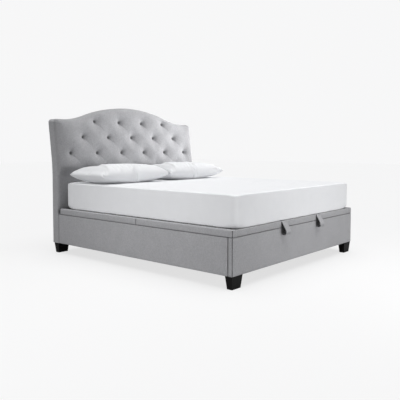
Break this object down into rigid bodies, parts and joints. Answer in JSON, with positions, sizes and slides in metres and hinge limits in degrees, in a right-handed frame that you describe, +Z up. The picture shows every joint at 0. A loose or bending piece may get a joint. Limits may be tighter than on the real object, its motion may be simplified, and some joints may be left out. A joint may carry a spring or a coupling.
{
  "type": "ottoman bed",
  "caption": "End-lift ottoman bed with a deep-buttoned camelback headboard, storage base, hinged lid on gas struts, pull loops, mattress and pillows.",
  "frame": {"origin": "On the floor under the middle of the bed", "axes": "+Z up, +Y towards the headboard, +X to the right as seen from the foot end"},
  "size_m": [1.9, 2.2893, 1.427],
  "materials": {
    "grey_weave": "matt woven upholstery",
    "lining_cloth": "thin non-woven lining",
    "pine": "planed, unfinished",
    "stained_pine": "pine stained black",
    "plywood": "sheet board, unfinished",
    "hardboard": "smooth hardboard",
    "birch": "sanded and sealed",
    "black_wood": "black satin lacquer",
    "black_plastic": "moulded",
    "black_steel": "powder coated",
    "zinc_steel": "zinc plated",
    "bright_rod": "polished rod",
    "ticking": "knitted cover",
    "white_cotton": "plain cotton"
  },
  "bodies": {
    "base": {"headboard_cover": "grey_weave", "headboard_board": "plywood", "headboard_battens": "pine", "headboard_back_cloth": "lining_cloth", "headboard_buttons": "grey_weave", "side_rail_board_left": "plywood", "side_rail_board_right": "plywood", "side_rail_cover_left": "grey_weave", "side_rail_cover_right": "grey_weave", "footboard_board": "plywood", "footboard_cover": "grey_weave", "corner_posts": "pine", "floor_battens": "pine", "head_rail": "pine", "headboard_brackets": "black_steel", "frame_bolts": "zinc_steel", "centre_beam": "pine", "centre_legs": "black_plastic", "floor_panel_foot": "hardboard", "floor_panel_head": "hardboard", "foot_front_left": "black_wood", "foot_front_right": "black_wood", "foot_rear_left": "black_wood", "foot_rear_right": "black_wood", "base_plate_left": "black_steel", "base_plate_right": "black_steel", "base_pins": "zinc_steel"},
    "rear_arms": {"rear_arm_left": "black_steel", "rear_arm_right": "black_steel"},
    "front_arms": {"front_arm_left": "black_steel", "front_arm_right": "black_steel"},
    "gas_cylinders": {"gas_cylinder_left": "black_steel", "gas_cylinder_right": "black_steel"},
    "gas_rods": {"gas_rod_left": "bright_rod", "gas_rod_right": "bright_rod"},
    "lid": {"lid_bracket_left": "black_steel", "lid_bracket_right": "black_steel", "lid_pins": "zinc_steel", "lid_cover_foot_left": "grey_weave", "lid_cover_foot_right": "grey_weave", "lid_cover_head_left": "grey_weave", "lid_cover_head_right": "grey_weave", "lid_core_foot_left": "stained_pine", "lid_core_foot_right": "stained_pine", "lid_core_head_left": "stained_pine", "lid_core_head_right": "stained_pine", "lid_foot_core": "stained_pine", "lid_foot_cover": "grey_weave", "lid_head_rail": "stained_pine", "lid_centre_bar": "black_steel", "lid_cross_bar": "black_steel", "lid_joint_plates": "black_steel", "lid_slats": "birch", "slat_holders": "black_plastic", "mattress": "ticking", "fitted_sheet": "white_cotton", "pillow_left": "white_cotton", "pillow_right": "white_cotton"},
    "loop_left": {"pull_loop_left": "grey_weave"},
    "loop_right": {"pull_loop_right": "grey_weave"}
  },
  "joints": [
    {"name": "lid_lift", "type": "hinge", "parent": "base", "child": "rear_arms", "pos_m": [0, 0.5735, 0.186], "axis": [1, 0, 0], "range_deg": [0, 45]},
    {"name": "lid_tilt", "type": "hinge", "parent": "rear_arms", "child": "lid", "pos_m": [0, 0.8701, 0.3493], "axis": [-1, 0, 0], "range_deg": [0, 77]},
    {"name": "front_arm_swing", "type": "hinge", "parent": "base", "child": "front_arms", "pos_m": [0, 0.3198, 0.1609], "axis": [1, 0, 0], "range_deg": [0, 37.8]},
    {"name": "strut_swing", "type": "hinge", "parent": "base", "child": "gas_cylinders", "pos_m": [0, 0.722, 0.165], "axis": [1, 0, 0], "range_deg": [0, 1.7]},
    {"name": "strut_stroke", "type": "slide", "parent": "gas_cylinders", "child": "gas_rods", "axis": [0, -0.9274, 0.3741], "range_m": [0, 0.1]},
    {"name": "loop_swing_left", "type": "hinge", "parent": "lid", "child": "loop_left", "pos_m": [-0.28, -1.0842, 0.421], "axis": [-1, 0, 0], "range_deg": [0, 80]},
    {"name": "loop_swing_right", "type": "hinge", "parent": "lid", "child": "loop_right", "pos_m": [0.28, -1.0842, 0.421], "axis": [-1, 0, 0], "range_deg": [0, 80]}
  ],
  "couplings": [
    {"joint": "lid_tilt", "follows": "lid_lift", "ratio": 1.7077},
    {"joint": "front_arm_swing", "follows": "lid_lift", "ratio": 0.8377},
    {"joint": "strut_swing", "follows": "lid_lift", "ratio": 0.036},
    {"joint": "strut_stroke", "follows": "lid_lift", "m_per_rad": 0.1265}
  ]
}
